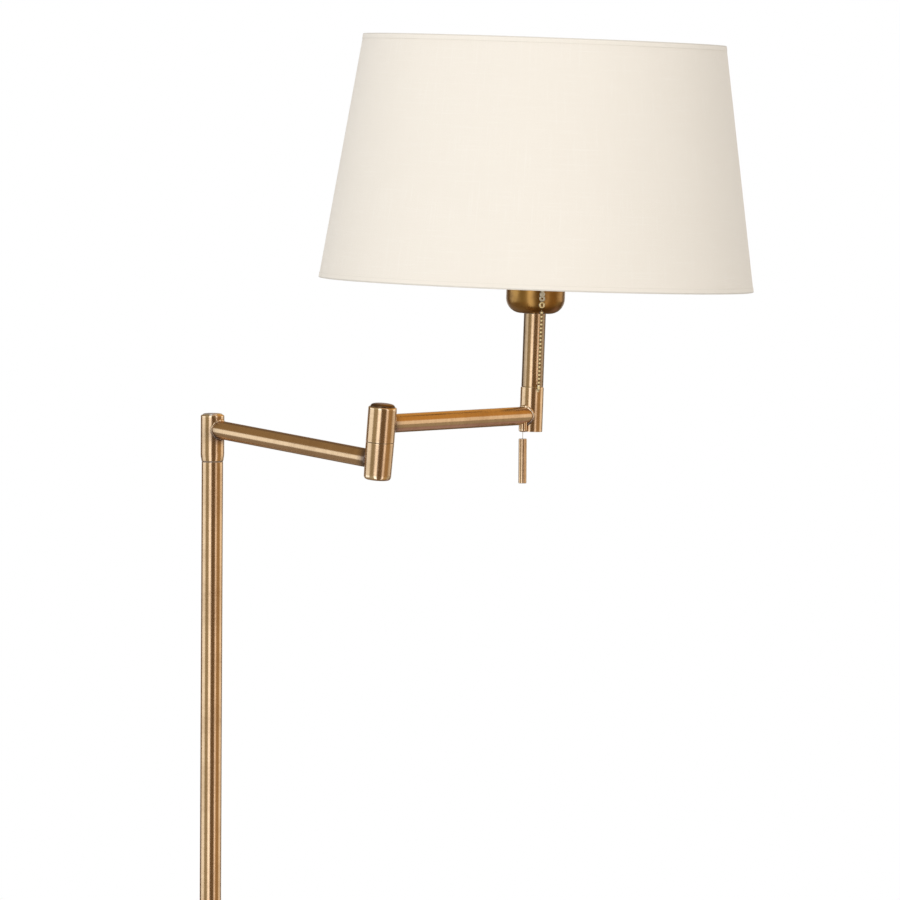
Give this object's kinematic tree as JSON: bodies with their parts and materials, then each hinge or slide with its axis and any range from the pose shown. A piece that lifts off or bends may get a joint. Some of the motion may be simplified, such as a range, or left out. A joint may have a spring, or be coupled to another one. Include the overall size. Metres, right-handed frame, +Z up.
{
  "type": "floor lamp",
  "caption": "Reading floor lamp: round weighted base, slim pole, two arms joined by a swivelling elbow, tapered drum shade and a bead-chain pull switch.",
  "frame": {"origin": "centre of the felt pad's underside, on the floor", "axes": "+Z up along the pole; the arms reach towards +X with the elbow swung towards -Y"},
  "size_m": [0.6412, 0.404, 1.5525],
  "materials": {
    "brushed_brass": "brushed, antique bronze tone, satin lacquer",
    "aged_brass": "aged brass, darker, finely spun",
    "cast_iron": "rough casting, black primer",
    "zinc_steel": "zinc plated",
    "felt": "pressed felt",
    "black_plastic": "moulded, satin",
    "white_nylon": "translucent nylon",
    "white_wire": "white powder coat",
    "shade_fabric": "cream fabric laminated on a stiff white lining",
    "opal_glass": "opal"
  },
  "bodies": {
    "stand": {"base_felt_pad": "felt", "base_weight": "cast_iron", "base_cover": "brushed_brass", "base_stud": "zinc_steel", "base_washer": "zinc_steel", "base_nut": "zinc_steel", "cable_gland": "black_plastic", "pole_foot_plug": "aged_brass", "pole_collar": "brushed_brass", "pole_lower": "brushed_brass", "pole_coupler": "aged_brass", "pole_upper": "brushed_brass", "pole_spindle": "zinc_steel", "pole_friction_washer": "white_nylon"},
    "lower_arm": {"pole_sleeve": "brushed_brass", "pole_sleeve_cap": "brushed_brass", "pole_spindle_nut": "zinc_steel", "lower_arm_tube": "brushed_brass", "elbow_lower_half": "brushed_brass", "elbow_spindle": "zinc_steel", "elbow_friction_washer": "white_nylon", "elbow_spring_washer": "zinc_steel", "elbow_nut": "zinc_steel"},
    "upper_arm": {"elbow_upper_half": "brushed_brass", "elbow_cap": "aged_brass", "upper_arm_tube": "brushed_brass", "head_sleeve": "brushed_brass", "head_sleeve_plug": "brushed_brass", "thread_guide": "brushed_brass", "head_coupler": "aged_brass", "head_tube": "brushed_brass", "head_tube_plug": "aged_brass", "head_nipple": "zinc_steel", "head_cup": "aged_brass", "head_locknut": "zinc_steel", "lampholder_base": "black_plastic", "lampholder_body": "black_plastic", "contact_block": "white_nylon", "screw_shell": "brushed_brass", "bulb_cap": "zinc_steel", "bulb_glass": "opal_glass", "shade_nut_lower": "black_plastic", "shade_nut_upper": "black_plastic", "shade_fitter_ring": "white_wire", "shade_spoke_1": "white_wire", "shade_spoke_2": "white_wire", "shade_spoke_3": "white_wire", "shade_bottom_ring": "white_wire", "shade_top_ring": "white_wire", "shade_panel": "shade_fabric"},
    "switch_pull": {"pull_stub": "white_nylon", "chain_clasp": "brushed_brass", "pull_chain": "brushed_brass", "chain_end": "brushed_brass", "pull_thread": "white_nylon"},
    "hanging_bar": {"thread_tail": "white_nylon", "pull_bar": "brushed_brass"}
  },
  "joints": [
    {"name": "pole_swivel", "type": "hinge", "parent": "stand", "child": "lower_arm", "pos_m": [0, 0, 1.185], "axis": [0, 0, 1], "range_deg": [-165, 165]},
    {"name": "elbow_swivel", "type": "hinge", "parent": "lower_arm", "child": "upper_arm", "pos_m": [0.15595, -0.1429, 1.16463], "axis": [0.0707, -0.0648, 0.9954], "range_deg": [-240, 55]},
    {"name": "switch_slide", "type": "slide", "parent": "upper_arm", "child": "switch_pull", "axis": [-0.0288, 0, -0.9996], "range_m": [0, 0.006], "stiffness_N_per_m": 300, "springref_m": -0.006, "deforming": ["pull_thread"]},
    {"name": "bar_swing", "type": "hinge", "parent": "switch_pull", "child": "hanging_bar", "pos_m": [0.28782, 0.0039, 1.18348], "axis": [0, 1, 0], "range_deg": [-40, 40]}
  ]
}
